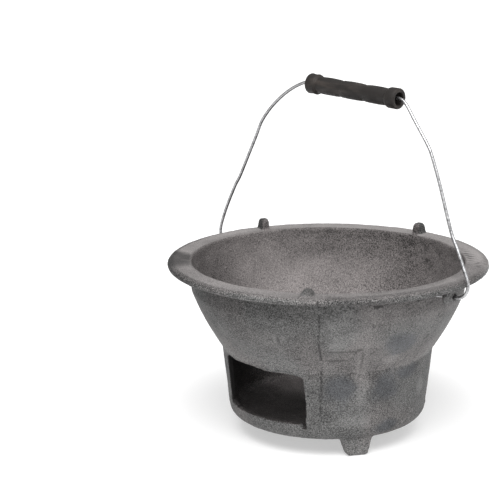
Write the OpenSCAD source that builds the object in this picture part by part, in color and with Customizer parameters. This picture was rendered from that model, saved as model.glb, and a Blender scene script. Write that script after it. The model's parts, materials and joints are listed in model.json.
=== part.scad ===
// Cast-iron charcoal stove: a flared fire bowl with a wide flanged rim on a drum-shaped ash
// base with a draft opening, three feet, three pot lugs, a lift-out grate and a wire bail
// with a turning grip.
// Millimetres. +Z is up and z = 0 is the ground. The origin is under the bowl's centre.
// The draft opening faces -Y, and the bail's axis runs along X.

/* [Rim] */
// Height of the rim's top above the ground
rim_z = 166; // [150:1:200]
// Outer radius of the rim
rim_r = 150; // [146:1:160]
// Radius of the fire bowl's mouth at the top
mouth_r = 128.8; // [127:0.2:130]
// Thickness of the rim flange
flange_t = 6.8; // [5:0.2:9]
// Length of the flange's rounded lip along the radius
lip_w = 4.7; // [2:0.1:6]
// Rounding of the flange's mouth edge
mouth_round = 4; // [1:0.5:4.5]

/* [Fire bowl] */
// Wall thickness of the casting
wall = 5.5; // [4.5:0.5:7]
// Outer radius of the upright neck under the flange
neck_r = 128; // [124:0.5:129]
// Depth of the neck's lower edge below the rim's top
neck_drop = 27; // [22:1:34]
// Radius of the curve of the bowl's wall, seen from the side
bowl_curve_r = 248; // [160:2:400]

/* [Ash base] */
// Height of the waist, where the bowl meets the base
waist_z = 84.5; // [82:0.5:90]
// Outer radius at the waist
waist_r = 99.5; // [94:0.5:104]
// Outer radius of the base above its rounded bottom edge
base_r = 93; // [90:0.5:96]
// Rounding of the base's bottom edge
base_round = 11.5; // [6:0.5:14]
// Thickness of the base's floor
floor_t = 6; // [4:0.5:8]

/* [Draft opening] */
// Width of the draft opening
draft_w = 94; // [60:1:110]
// Height of the sill above the ground
draft_sill_z = 33; // [32:0.5:45]
// Height of the opening's top above the ground
draft_top_z = 81.5; // [60:0.5:82]
// Rounding of the opening's top corners
draft_round = 5; // [2:0.5:10]
// Width of the notch at the sill's right-hand end
notch_w = 6; // [2:0.5:7]
// Depth of that notch
notch_d = 4; // [2:0.5:4.5]

/* [Feet] */
// Height of the feet
foot_h = 16.5; // [12:0.5:20]
// Width of a foot where it joins the base
foot_top_w = 30; // [20:1:34]
// Width of a foot on the ground
foot_tip_w = 19; // [12:1:24]
// Thickness of a foot along the radius
foot_t = 12; // [8:1:16]
// Radius of the feet's outer faces
foot_r = 86; // [80:0.5:86]
// Direction of the right-hand foot, from the front
foot_angle = 60; // [50:1:70]
// Angle from that foot to each of the other two
foot_step = 143; // [120:1:150]

/* [Pot lugs] */
// Height of the rear and left pot lugs above the rim
lug_h = 11; // [6:0.5:14]
// Height of the worn front lug above the rim
front_lug_h = 5.5; // [4:0.5:14]
// Length of a lug along the radius, at the rim
lug_foot_len = 14; // [10:0.5:16]
// Length of a lug along the radius, at its top
lug_top_len = 9.5; // [7:0.5:12]
// Thickness of the rear and left lugs round the rim
lug_t = 7.5; // [5:0.5:12]
// Thickness of the front lug round the rim
front_lug_t = 12; // [5:0.5:14]
// Radius of the lugs' inner ends
lug_r = 129; // [129:0.5:130]
// Directions of the three lugs, from the front
lug_angles = [34, 179.5, 249.7];

/* [Bail] */
// Diameter of the bail's wire
wire_d = 3.2; // [2.8:0.1:3.6]
// Distance of the bail's axis behind the bowl's centre
bail_y = 11; // [0:1:14]
// Depth of the bail's axis below the rim's top
bail_drop = 14.9; // [14:0.1:15.5]
// Angle by which the standing bail leans back
bail_lean = 7; // [0:1:12]
// Distance from the middle to the foot of each leg of the bail
leg_x = 153.4; // [152.4:0.1:156]
// Height of the grip's middle above the bail's axis
grip_h = 170.5; // [160:0.5:190]
// Offset of the grip's middle towards +X
grip_x = 3.7; // [-4:0.1:4]
// Angle by which the grip slopes down towards +X
grip_slope = 2.3; // [0:0.1:3]
// Radius of the bend at the foot of each leg
hook_r = 11; // [6:0.5:12]
// Length of the tail that keeps the wire in its ear
tail_len = 19; // [14:0.5:19]
// Rise of the tail above level
tail_rise = 14; // [5:0.5:17]

/* [Bail ears] */
// Diameter of the hole in an ear
ear_hole_d = 5; // [4.8:0.1:5.4]
// Width of an ear at the flange
ear_w = 21; // [18:0.5:23]
// Width of an ear at its lower end
ear_tip_w = 18; // [15:0.5:20]
// Thickness of an ear
ear_t = 4; // [3:0.5:6]
// Distance of the ears' middles behind the bowl's centre
ear_y = 6.5; // [5.5:0.5:11]
// Distance from the middle to an ear's inner face
ear_x = 136.5; // [135.5:0.5:137]
// Length of an ear below the flange
ear_len = 12; // [12:0.5:14]

/* [Grip] */
// Length of the grip
grip_len = 108; // [90:1:112]
// Diameter of the grip's end collars
collar_d = 19.6; // [17:0.2:23]
// Width of an end collar
collar_w = 11; // [8:0.5:14]
// Diameter of the grip at the middle of each segment
grip_d = 16.8; // [15:0.2:19]
// Crown of each of the grip's segments
grip_crown = 0.6; // [0:0.1:1]
// Diameter of the grip's bore
grip_bore_d = 4.4; // [4.2:0.1:5.4]
// Diameter of the hollow in each end of the grip
grip_hollow_d = 12; // [9:0.5:13]
// Depth of that hollow
grip_hollow_depth = 9; // [5:0.5:12]

/* [Grate] */
// Thickness of the grate
grate_t = 8; // [6:0.5:10]
// Height of the grate's underside above the waist
grate_lift = 5; // [4:0.5:10]
// Gap between the grate's edge and the bowl's wall
grate_gap = 0.5; // [0.4:0.1:1.5]
// Width of the grate's outer ring
grate_ring_w = 9; // [7:0.5:14]
// Width of a bar of the grate
bar_w = 8; // [6:0.5:10]
// Width of a slot between two bars
slot_w = 9; // [7:0.5:11]

/* [Hidden] */
$fn = 96;

iron_dark = [0.36, 0.35, 0.36];
iron_mid = [0.42, 0.41, 0.42];
iron_light = [0.50, 0.48, 0.48];
zinc = [0.74, 0.75, 0.76];
grip_black = [0.14, 0.12, 0.11];

// Heights and radii that follow from the settings.
flange_z = rim_z - flange_t;
neck_z = rim_z - neck_drop;
floor_z = foot_h + floor_t;
wall_foot_z = foot_h + base_round;
floor_r = base_r - base_round - 1;
mouth_foot_r = mouth_r - mouth_round - 1;
bowl_in_top_r = neck_r - wall - 0.5;
waist_in_r = waist_r - wall - 0.7;
// The bore of an ear is higher than the wire, which lies in the bottom of it.
bail_z = rim_z - bail_drop;
ear_slack = 0.05;
ear_hole_z = bail_z + (ear_hole_d - wire_d) / 2 - ear_slack;
// The grip hangs on the wire.
grip_slack = 0.05;
grip_sag = (grip_bore_d - wire_d) / 2 - grip_slack;

// The points of an arc of radius r from p to q in n steps. It bulges to the right of the way
// from p to q, or to the left if r is negative.
function arc(p, q, r, n) =
    let (
        d = q - p,
        side = sign(r),
        h = sqrt(r * r - d * d / 4),
        c = (p + q) / 2 + side * h * [-d.y, d.x] / norm(d),
        a = atan2(p.y - c.y, p.x - c.x),
        b = atan2(q.y - c.y, q.x - c.x),
        turn = (b - a + 540) % 360 - 180
    )
    [for (i = [0:n]) c + abs(r) * [cos(a + turn * i / n), sin(a + turn * i / n)]];

function unit(v) = v / norm(v);

// A point at radius r in the direction a, in degrees from the front (-Y) towards +X.
function around(r, a) = [r * sin(a), -r * cos(a), 0];

// The bowl's curved outer and inner walls, from the neck down to the waist.
bowl_out = arc([waist_r, waist_z], [neck_r, neck_z], bowl_curve_r, 10);
bowl_in = arc([waist_in_r, waist_z], [bowl_in_top_r, neck_z], bowl_curve_r - wall, 10);

// Inner radius of the bowl at a height between the waist and the neck.
function bowl_in_r(z) = lookup(z, [for (p = bowl_in) [p.y, p.x]]);

// ---- The casting ----------------------------------------------------------------------

module rim_flange() {
    half = flange_t / 2;
    color(iron_light)
    rotate_extrude()
    polygon(concat(
        [[mouth_foot_r, flange_z]],
        [for (a = [-90:22.5:90])
            [rim_r - lip_w + lip_w * cos(a), rim_z - half + half * sin(a)]],
        arc([mouth_r, rim_z], [mouth_r - mouth_round, rim_z - mouth_round], mouth_round, 4)
    ));
}

// The upright band between the flange and the curved wall of the bowl.
module bowl_neck() {
    color(iron_dark)
    rotate_extrude()
    polygon([
        [bowl_in_top_r, neck_z], [neck_r, neck_z], [neck_r, flange_z], [mouth_foot_r, flange_z]
    ]);
}

module fire_bowl() {
    color(iron_mid)
    rotate_extrude()
    polygon(concat(bowl_out, [for (i = [len(bowl_in) - 1:-1:0]) bowl_in[i]]));
}

// The section of the base's wall, from the edge of the floor up to the waist and back.
module base_section() {
    polygon(concat(
        [[floor_r, foot_h]],
        arc([base_r - base_round, foot_h], [base_r, wall_foot_z], base_round, 6),
        [[waist_r, waist_z], [waist_in_r, waist_z], [base_r - wall, wall_foot_z]],
        arc([base_r - wall, wall_foot_z], [floor_r, floor_z], -base_round, 3)
    ));
}

// The outline of the draft opening: sharp at the sill and rounded at the top.
module draft_outline() {
    half = draft_w / 2;
    polygon(concat(
        [[-half, draft_sill_z], [half, draft_sill_z]],
        arc([half, draft_top_z - draft_round], [half - draft_round, draft_top_z],
            draft_round, 5),
        arc([draft_round - half, draft_top_z], [-half, draft_top_z - draft_round],
            draft_round, 5)
    ));
}

module ash_base() {
    color(iron_mid)
    difference() {
        rotate_extrude() base_section();
        rotate([90, 0, 0])
        linear_extrude(2 * base_r) draft_outline();
        translate([draft_w / 2 - notch_w, -2 * base_r, draft_sill_z - notch_d])
        cube([notch_w, 2 * base_r, notch_d + 1]);
    }
}

module base_floor() {
    color(iron_dark)
    translate([0, 0, foot_h]) cylinder(h = floor_t, r = floor_r);
}

// A tapering foot whose outer face stands at foot_r, in the direction a.
module foot(a) {
    color(iron_mid)
    translate(around(foot_r - foot_t, a))
    rotate([0, 0, a])
    rotate([90, 0, 0])
    linear_extrude(foot_t)
    polygon(concat(
        [[-foot_top_w / 2, foot_h]],
        arc([-foot_tip_w / 2 - 0.8, 3], [-foot_tip_w / 2 + 2.2, 0], 3.2, 4),
        [[foot_tip_w / 2, 0], [foot_top_w / 2, foot_h]]
    ));
}

// A pot lug of height h and thickness t on the rim, in the direction a. It runs along the radius.
module pot_lug(a, h, t) {
    corner = 2;
    near = 1;
    far = near + lug_top_len;
    color(iron_mid)
    rotate([0, 0, a])
    translate([t / 2, -lug_r, rim_z])
    rotate([90, 0, -90])
    linear_extrude(t)
    polygon(concat(
        [[0, 0], [lug_foot_len, 0]],
        arc([far, h - corner], [far - corner, h], corner, 3),
        arc([near + corner, h], [near, h - corner], corner, 3)
    ));
}

// A drilled ear under the flange, on the +X side. Its hole is behind its middle.
module bail_ear() {
    corner = 2.5;
    tip = -ear_len;
    color(iron_dark)
    difference() {
        translate([ear_x, ear_y, flange_z])
        rotate([90, 0, 90])
        linear_extrude(ear_t)
        polygon(concat(
            [[ear_w / 2, 0], [-ear_w / 2, 0]],
            arc([-ear_tip_w / 2, tip + corner], [corner - ear_tip_w / 2, tip], corner, 4),
            arc([ear_tip_w / 2 - corner, tip], [ear_tip_w / 2, tip + corner], corner, 4)
        ));
        translate([ear_x - 1, bail_y, ear_hole_z])
        rotate([0, 90, 0])
        cylinder(h = ear_t + 2, d = ear_hole_d);
    }
}

// ---- The grate ------------------------------------------------------------------------

module charcoal_grate() {
    bottom = waist_z + grate_lift;
    outer = bowl_in_r(bottom) - grate_gap;
    pitch = bar_w + slot_w;
    rows = floor((outer - grate_ring_w) / pitch);
    color(iron_dark)
    translate([0, 0, bottom])
    linear_extrude(grate_t)
    difference() {
        circle(outer);
        intersection() {
            circle(outer - grate_ring_w);
            for (side = [-1, 1], i = [-rows:rows])
                translate([side > 0 ? bar_w / 2 : -outer - bar_w / 2, i * pitch - slot_w / 2])
                square([outer, slot_w]);
        }
    }
}

// ---- The bail -------------------------------------------------------------------------

// Height of the wire above the bail's axis where it is straight, inside the grip.
function top_h(x) = grip_h - (x - grip_x) * tan(grip_slope);

// Points of the hand-bent arch on each side, from the leg to the grip: [x, height].
arch_right = [
    [leg_x, hook_r], [leg_x - 0.2, 14], [151.3, 18.5], [146.3, 27.7], [138.6, 41.8],
    [131, 54], [123.2, 71], [116, 88], [108.5, 104.7], [100.2, 121.6], [94.8, 130],
    [86.5, 139.8], [76, 152], [69.5, 160], [64, 165.6], [58, top_h(58)], [52, top_h(52)]
];
arch_left = [
    [-leg_x, hook_r], [-leg_x - 0.7, 16], [-153.2, 23], [-147.6, 41], [-138.7, 62.4],
    [-132.8, 73.2], [-124, 94.2], [-115.3, 115], [-111.6, 125], [-107.6, 132.8], [-98, 145],
    [-85, 157], [-72, 165.8], [-61, 171], [-54, top_h(-54)], [-48, top_h(-48)]
];
tail_bend_r = 3.5;
tail_x = ear_x - wire_d;

// A point on a smooth curve through q and r, at the share t of the way, with neighbours p, s.
function between(p, q, r, s, t) =
    0.5 * (2 * q + (r - p) * t + (2 * p - 5 * q + 4 * r - s) * t * t
        + (3 * q - p - 3 * r + s) * t * t * t);

function smooth(points, steps) =
    let (n = len(points), last = n - 1)
    concat(
        [for (i = [0:last - 1], k = [0:steps - 1])
            between(points[max(0, i - 1)], points[i], points[i + 1],
                points[min(last, i + 2)], k / steps)],
        [points[last]]
    );

// Directions in the Y-Z plane: up the leaning bail, and out along the tail.
bail_up = [0, sin(bail_lean), cos(bail_lean)];
tail_way = [0, -cos(tail_rise), sin(tail_rise)];

// The wire's centre line on the +X side, from the tail's end to the top of the leg's bend.
function tail_and_hook() = concat(
    [for (s = [1, 0.5]) [tail_x, 0, 0] + s * tail_len * tail_way],
    [for (a = [0:22.5:90])
        [tail_x + tail_bend_r * (1 - cos(a)), 0, 0] + tail_bend_r * (1 - sin(a)) * tail_way],
    [[(tail_x + tail_bend_r + leg_x - hook_r) / 2, 0, 0]],
    [for (a = [0:15:80])
        [leg_x - hook_r + hook_r * sin(a), 0, 0] + hook_r * (1 - cos(a)) * bail_up]
);

function arch(points) = [for (p = smooth(points, 3)) [p.x, 0, 0] + p.y * bail_up];

function backwards(route) = [for (i = [len(route) - 1:-1:0]) route[i]];

function mirrored(route) = [for (p = route) [-p.x, p.y, p.z]];

// Each ring's sideways direction is carried on from the ring before, so that no ring twists.
function carried(side, ways, i = 0) =
    i == len(ways) ? [] :
    let (next = unit(side - (side * ways[i]) * ways[i]))
    concat([next], carried(next, ways, i + 1));

// A round tube of radius r along a route.
module tube(route, r, sides) {
    n = len(route);
    ways = [for (i = [0:n - 1]) unit(route[min(n - 1, i + 1)] - route[max(0, i - 1)])];
    across = carried([0, 0.3, 1], ways);
    rings = [for (i = [0:n - 1], k = [0:sides - 1])
        let (a = 360 * k / sides)
        route[i] + r * (cos(a) * across[i] + sin(a) * cross(ways[i], across[i]))];
    walls = [for (i = [0:n - 2], k = [0:sides - 1])
        let (a = i * sides + k, b = i * sides + (k + 1) % sides)
        each [[a, a + sides, b], [b, a + sides, b + sides]]];
    start = [for (k = [0:sides - 1]) k];
    end = [for (k = [sides - 1:-1:0]) (n - 1) * sides + k];
    polyhedron(rings, concat(walls, [start], [end]), convexity = 10);
}

module bail_wire() {
    route = concat(
        tail_and_hook(), arch(arch_right),
        backwards(arch(arch_left)), backwards(mirrored(tail_and_hook()))
    );
    color(zinc)
    translate([0, bail_y, bail_z])
    tube(route, wire_d / 2, 10);
}

// ---- The grip -------------------------------------------------------------------------

// The outline of the grip's body between its collars: three crowned segments.
function grip_outline() =
    let (span = grip_len - 2 * collar_w, piece = span / 3, steps = 6)
    [for (s = [0:2], k = [0:steps])
        if (k > 0 || s == 0)
        [grip_d / 2 - grip_crown * pow(2 * k / steps - 1, 2),
            (s + k / steps) * piece - span / 2]];

module handle_grip() {
    half = grip_len / 2;
    bevel = 1.2;
    inner = half - collar_w;
    color(grip_black)
    translate([grip_x, bail_y, bail_z - grip_sag] + grip_h * bail_up)
    rotate([-bail_lean, 0, 0])
    rotate([0, 90 + grip_slope, 0])
    rotate_extrude()
    polygon(concat(
        [[grip_bore_d / 2, half - grip_hollow_depth]],
        [[grip_bore_d / 2, grip_hollow_depth - half]],
        [[grip_hollow_d / 2, grip_hollow_depth - half], [grip_hollow_d / 2, -half]],
        [[collar_d / 2 - bevel, -half], [collar_d / 2, bevel - half]],
        [[collar_d / 2, -inner - bevel / 2]],
        grip_outline(),
        [[collar_d / 2, inner + bevel / 2], [collar_d / 2, half - bevel]],
        [[collar_d / 2 - bevel, half], [grip_hollow_d / 2, half]],
        [[grip_hollow_d / 2, half - grip_hollow_depth]]
    ));
}

rim_flange();
bowl_neck();
fire_bowl();
ash_base();
base_floor();
foot(foot_angle);  // foot_right
foot(foot_angle + foot_step);  // foot_rear
foot(foot_angle - foot_step);  // foot_left
pot_lug(lug_angles[0], front_lug_h, front_lug_t);  // pot_lug_front
pot_lug(lug_angles[1], lug_h, lug_t);  // pot_lug_rear
pot_lug(lug_angles[2], lug_h, lug_t);  // pot_lug_left
bail_ear();  // bail_ear_right
mirror([1, 0, 0]) bail_ear();  // bail_ear_left
charcoal_grate();
bail_wire();
handle_grip();
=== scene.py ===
"""A cast-iron charcoal stove with a wire bail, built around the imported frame.

The casting and the grate are each one smooth mesh, taken from a field of distances to their shape,
so that the iron's fillets, mould seams and sand texture are real geometry. The bail is a swept
wire and the grip a turned and slightly uneven moulding. Lengths are in millimetres, except in
the camera and the materials, which work in metres. Angles of places round the stove are in
degrees or radians from the front (-Y) towards +X.
"""

import json
import math

import bpy
import numpy as np
from mathutils import Matrix, Vector


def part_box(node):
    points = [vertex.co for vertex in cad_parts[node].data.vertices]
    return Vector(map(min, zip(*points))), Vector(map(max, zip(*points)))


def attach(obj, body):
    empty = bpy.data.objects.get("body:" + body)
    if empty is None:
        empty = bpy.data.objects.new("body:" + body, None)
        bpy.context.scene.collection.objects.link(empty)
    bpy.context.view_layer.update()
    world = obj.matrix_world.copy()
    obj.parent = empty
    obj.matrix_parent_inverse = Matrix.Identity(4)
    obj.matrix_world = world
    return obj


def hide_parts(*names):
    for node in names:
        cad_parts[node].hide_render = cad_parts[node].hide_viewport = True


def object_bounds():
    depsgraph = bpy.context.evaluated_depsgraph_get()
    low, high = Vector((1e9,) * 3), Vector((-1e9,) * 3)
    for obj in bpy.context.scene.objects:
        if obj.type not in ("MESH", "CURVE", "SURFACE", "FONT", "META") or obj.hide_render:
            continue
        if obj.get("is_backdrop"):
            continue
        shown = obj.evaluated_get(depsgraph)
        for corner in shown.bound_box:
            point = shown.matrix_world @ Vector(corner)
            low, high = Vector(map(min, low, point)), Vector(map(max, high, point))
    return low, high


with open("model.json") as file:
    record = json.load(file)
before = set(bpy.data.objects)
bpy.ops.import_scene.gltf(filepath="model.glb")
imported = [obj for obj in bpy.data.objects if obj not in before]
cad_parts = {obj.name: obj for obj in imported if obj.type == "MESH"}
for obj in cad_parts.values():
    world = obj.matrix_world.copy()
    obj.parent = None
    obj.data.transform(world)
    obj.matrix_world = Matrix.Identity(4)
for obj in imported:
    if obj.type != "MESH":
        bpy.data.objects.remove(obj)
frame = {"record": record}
cad_low, cad_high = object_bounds()

MM = 0.001
ROW = {j["name"]: j for j in frame["record"]["behaviour"]["joints"]}

# ---- Sizes, read from the frame ----------


def box_mm(node):
    """A node's lowest and highest corners in millimetres."""
    low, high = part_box(node)
    return np.array(low) / MM, np.array(high) / MM


def middle_mm(node):
    low, high = box_mm(node)
    return (low + high) / 2


def direction_of(node):
    """The angle of a node's middle round the Z axis, from the front (-Y) towards +X."""
    x, y, _ = middle_mm(node)
    return math.atan2(x, -y)


RIM_LOW, RIM_HIGH = box_mm("rim_flange")
BASE_LOW, BASE_HIGH = box_mm("ash_base")
RIM_TOP, RIM_R, FLANGE_Z = RIM_HIGH[2], RIM_HIGH[0], RIM_LOW[2]
NECK_R = box_mm("bowl_neck")[1][0]
NECK_Z = box_mm("bowl_neck")[0][2]
WAIST_Z, WAIST_R, FOOT_H = BASE_HIGH[2], BASE_HIGH[0], BASE_LOW[2]
FLOOR_Z = box_mm("base_floor")[1][2]

# The casting's other sizes, and the wire's.
WALL = 5.5
MOUTH_R, MOUTH_ROUND = 128.8, 1.6
LIP_W = 4.7
BASE_R, BASE_ROUND = 93.0, 11.5
BOWL_CURVE_R, BOWL_IN_CURVE_R = 248.0, 165.0
WAIST_IN_R = WAIST_R - WALL - 0.7
DRAFT_W, DRAFT_TOP_Z, DRAFT_ROUND = 94.0, 81.5, 5.0
SILL_Z, NOTCH_W, NOTCH_D = 33.0, 6.0, 4.0
LUG_R, LUG_FOOT_LEN, LUG_TOP_LEN, LUG_NEAR_SLANT = 129.0, 14.0, 9.5, 1.0
LUG_T = {"pot_lug_front": 12.0, "pot_lug_rear": 7.5, "pot_lug_left": 7.5}
LUGS = tuple(LUG_T)
FEET = ("foot_right", "foot_rear", "foot_left")
EARS = ("bail_ear_right", "bail_ear_left")
BAIL_AXIS = np.array(ROW["bail_swing"]["pos_m"]) / MM
FOOT_R, FOOT_T, FOOT_TOP_W, FOOT_TIP_W = 86.0, 12.0, 28.5, 19.5
EAR_W, EAR_TIP_W, EAR_HOLE_R = 21.0, 18.0, 2.5
WIRE_R = 1.6
GRID_STEP = 1.1  # between the points of a field
SKIN_INSET = 0.1  # keeps the iron's rough skin within its outline

# The mould's parting lines, as angles from the front, and the place where the metal ran in.
SEAMS = [math.radians(a) for a in (38, 131, 218, 311)]
GATE = math.radians(131)
SCRATCH_PITCH = 9
FAR_SIDE = 223  # in degrees from the front

# ---- Camera ----------


def add_camera():
    """A long lens from the front right, a little above the rim, with the stove right of centre."""
    azimuth, elevation, roll = math.radians(44), math.radians(13.69), math.radians(-0.409)
    away, lens_mm, sensor_mm = 1.5883, 122.4, 36.0
    aim_left, aim_over_rim = 0.07264, 0.0079
    ahead = Vector((
        -math.sin(azimuth) * math.cos(elevation),
        math.cos(azimuth) * math.cos(elevation),
        -math.sin(elevation),
    ))
    right = Vector((math.cos(azimuth), math.sin(azimuth), 0))
    aim = Vector((0, 0, RIM_TOP * MM + aim_over_rim)) - right * aim_left
    data = bpy.data.cameras.new("camera")
    data.lens, data.sensor_width = lens_mm, sensor_mm
    camera = bpy.data.objects.new("camera", data)
    turn = Matrix((right, right.cross(ahead), -ahead)).transposed().to_4x4()
    camera.matrix_world = (
        Matrix.Translation(aim - ahead * away) @ turn @ Matrix.Rotation(roll, 4, "Z")
    )
    bpy.context.scene.collection.objects.link(camera)
    bpy.context.scene.camera = camera


# ---- Noise ----------


def hashed(ix, iy, iz, seed):
    """A repeatable number from 0 to 1 for each whole-number point."""
    with np.errstate(over="ignore"):
        h = (
            ix.astype(np.uint32) * np.uint32(374761393)
            + iy.astype(np.uint32) * np.uint32(668265263)
            + iz.astype(np.uint32) * np.uint32(2147483647)
            + np.uint32(seed * 362437 + 97)
        )
        h = (h ^ (h >> np.uint32(13))) * np.uint32(1274126177)
        h = h ^ (h >> np.uint32(16))
    return (h & np.uint32(0xFFFFFF)).astype(np.float32) / 0xFFFFFF


def noise(points, size, seed):
    """Smooth noise from -1 to 1 whose bumps are about size across."""
    p = points / size + 512.0
    low = np.floor(p).astype(np.int64)
    t = (p - low).astype(np.float32)
    t = t * t * (3 - 2 * t)
    total = 0
    for corner in range(8):
        step = np.array([corner & 1, corner >> 1 & 1, corner >> 2 & 1])
        weight = np.prod(np.where(step, t, 1 - t), axis=1)
        ix, iy, iz = (low + step).T
        total = total + weight * hashed(ix, iy, iz, seed)
    return 2 * total - 1


def line_noise(x, size, seed):
    """The same along one line."""
    p = np.stack([x, np.zeros_like(x), np.zeros_like(x)], axis=-1).reshape(-1, 3)
    return noise(p, size, seed).reshape(np.shape(x))


def bell(x, width):
    """1 at 0, falling smoothly to nothing about a width away."""
    return np.exp(-((x / width) ** 2))


def ramp(x, low, high):
    """0 below low, 1 above high and smooth between them."""
    t = np.clip((x - low) / (high - low), 0, 1)
    return t * t * (3 - 2 * t)


def angle_from(a, b):
    """The signed angle from b to a, within half a turn."""
    return (a - b + math.pi) % (2 * math.pi) - math.pi


# ---- Distance fields ----------


def arc(p, q, r, n):
    """Points of an arc of radius r from p to q, which bulges to the right of the way."""
    p, q = np.array(p, float), np.array(q, float)
    d = q - p
    height = math.sqrt(r * r - d @ d / 4)
    centre = (p + q) / 2 + height * np.array([-d[1], d[0]]) / np.linalg.norm(d)
    a = math.atan2(*(p - centre)[::-1])
    b = math.atan2(*(q - centre)[::-1])
    turns = [a + angle_from(b, a) * i / n for i in range(n + 1)]
    return [tuple(centre + r * np.array([math.cos(t), math.sin(t)])) for t in turns]


def outline_distance(x, y, outline):
    """Signed distance from each point to a closed outline, negative inside."""
    best = np.full(x.shape, 1e9)
    inside = np.zeros(x.shape, bool)
    corners = np.array(outline, float)
    for a, b in zip(corners, np.roll(corners, -1, axis=0)):
        ex, ey = b - a
        px, py = x - a[0], y - a[1]
        t = np.clip((px * ex + py * ey) / max(ex * ex + ey * ey, 1e-12), 0, 1)
        best = np.minimum(best, (px - ex * t) ** 2 + (py - ey * t) ** 2)
        crosses = (a[1] > y) != (b[1] > y)
        slope = (b[0] - a[0]) * (y - a[1]) / (b[1] - a[1] if b[1] != a[1] else 1e-9) + a[0]
        inside ^= crosses & (x < slope)
    return np.where(inside, -1, 1) * np.sqrt(best)


def softened(field, passes):
    """The field with every edge rounded, by averaging each point with its neighbours."""
    for _ in range(passes):
        for axis in (0, 1):
            field = (np.roll(field, 1, axis=axis) + field + np.roll(field, -1, axis=axis)) / 3
    return field


def joined(a, b, fillet):
    """Union of two shapes with a fillet between them."""
    h = np.clip(0.5 + 0.5 * (b - a) / fillet, 0, 1)
    return b + (a - b) * h - fillet * h * (1 - h)


def cut(a, b, edge):
    """Shape a without shape b, with softened edges."""
    return -joined(-a, b, edge)


def block(x, y, z, half, rounding):
    """Distance to a rounded block about the origin. half may change from point to point."""
    q = [np.abs(v) - h + rounding for v, h in zip((x, y, z), half)]
    outside = np.sqrt(sum(np.maximum(v, 0) ** 2 for v in q))
    return outside + np.minimum(np.maximum(q[0], np.maximum(q[1], q[2])), 0) - rounding


class Field:
    """Distances to a shape on a regular grid of points, in millimetres."""

    def __init__(self, low, high, step):
        self.step = step
        self.axes = [np.arange(a, b + step, step) for a, b in zip(low, high)]
        self.values = None

    def turned(self, outline, passes):
        """Starts from the outline, in radius and height, turned about the Z axis."""
        fine = self.step / 2
        radii = np.arange(-4, self.axes[0][-1] * 1.45, fine)
        heights = self.axes[2][0] + fine * np.arange(2 * len(self.axes[2]))
        r, z = np.meshgrid(radii, heights, indexing="ij")
        flat = softened(outline_distance(np.abs(r), z, outline), passes)
        flat = flat[:, ::2].astype(np.float32)
        x, y = np.meshgrid(self.axes[0], self.axes[1], indexing="ij")
        at = (np.hypot(x, y) - radii[0]) / fine
        low = at.astype(int)
        t = (at - low)[..., None].astype(np.float32)
        self.values = flat[low] * (1 - t) + flat[low + 1] * t

    def change(self, low, high, how):
        """Replaces the values within a box by how(values, x, y, z)."""
        part = tuple(
            slice(*np.searchsorted(axis, (a, b))) for axis, a, b in zip(self.axes, low, high)
        )
        x, y, z = np.meshgrid(
            *[axis[s] for axis, s in zip(self.axes, part)], indexing="ij", sparse=True
        )
        self.values[part] = how(self.values[part], x, y, z)

    def surface(self):
        """Vertices and quads of the shape's surface, one vertex in each crossed cell."""
        v = self.values
        solid = v < 0
        corners = [(i, j, k) for i in (0, 1) for j in (0, 1) for k in (0, 1)]

        def corner(a, c):
            return a[tuple(slice(o, n - 1 + o) for o, n in zip(c, a.shape))]

        count = sum(corner(solid, c).astype(np.int8) for c in corners)
        cells = np.argwhere((count > 0) & (count < 8))
        index = np.full(count.shape, -1, np.int64)
        index[tuple(cells.T)] = np.arange(len(cells))
        total = np.zeros((len(cells), 3))
        hits = np.zeros(len(cells))
        for a in corners:
            for axis in range(3):
                if a[axis]:
                    continue
                b = tuple(o + (i == axis) for i, o in enumerate(a))
                va = v[tuple((cells + a).T)]
                vb = v[tuple((cells + b).T)]
                crossed = (va < 0) != (vb < 0)
                share = np.where(crossed, va / np.where(crossed, va - vb, 1), 0)
                place = np.array(a) + share[:, None] * np.eye(3)[axis]
                total += place * crossed[:, None]
                hits += crossed
        start = np.array([axis[0] for axis in self.axes])
        points = start + (cells + total / hits[:, None]) * self.step
        quads = []
        for axis in range(3):
            u, w = (axis + 1) % 3, (axis + 2) % 3
            near = [slice(None)] * 3
            far = [slice(None)] * 3
            near[axis], far[axis] = slice(0, -1), slice(1, None)
            first, second = solid[tuple(near)], solid[tuple(far)]
            edges = np.argwhere(first != second)
            edges = edges[(edges[:, u] > 0) & (edges[:, w] > 0)]
            eu, ew = np.eye(3, dtype=int)[u], np.eye(3, dtype=int)[w]
            around = [edges - eu - ew, edges - ew, edges, edges - eu]
            ids = np.stack([index[tuple(p.T)] for p in around], axis=1)
            outward = first[tuple(edges.T)]
            quads.append(np.where(outward[:, None], ids, ids[:, ::-1]))
        return points, np.concatenate(quads)


# ---- Meshes ----------


def mesh_object(name, points_mm, faces, material):
    """An object from points in millimetres and faces of equal length or as a list."""
    data = bpy.data.meshes.new(name)
    points = np.asarray(points_mm, float) * MM
    if isinstance(faces, np.ndarray):
        sides = faces.shape[1]
        data.vertices.add(len(points))
        data.vertices.foreach_set("co", points.ravel().astype(np.float32))
        data.loops.add(faces.size)
        data.loops.foreach_set("vertex_index", faces.ravel().astype(np.int32))
        data.polygons.add(len(faces))
        data.polygons.foreach_set("loop_start", np.arange(0, faces.size, sides, dtype=np.int32))
    else:
        data.from_pydata(points.tolist(), [], faces)
    data.update(calc_edges=True)
    data.validate()
    data.polygons.foreach_set("use_smooth", np.full(len(data.polygons), True))
    made = bpy.data.objects.new(name, data)
    data.materials.append(material)
    bpy.context.scene.collection.objects.link(made)
    return made


def add_values(made, name, values):
    """Gives each vertex a number that a material reads by name."""
    layer = made.data.attributes.new(name, "FLOAT", "POINT")
    layer.data.foreach_set("value", np.asarray(values, np.float32))


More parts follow.
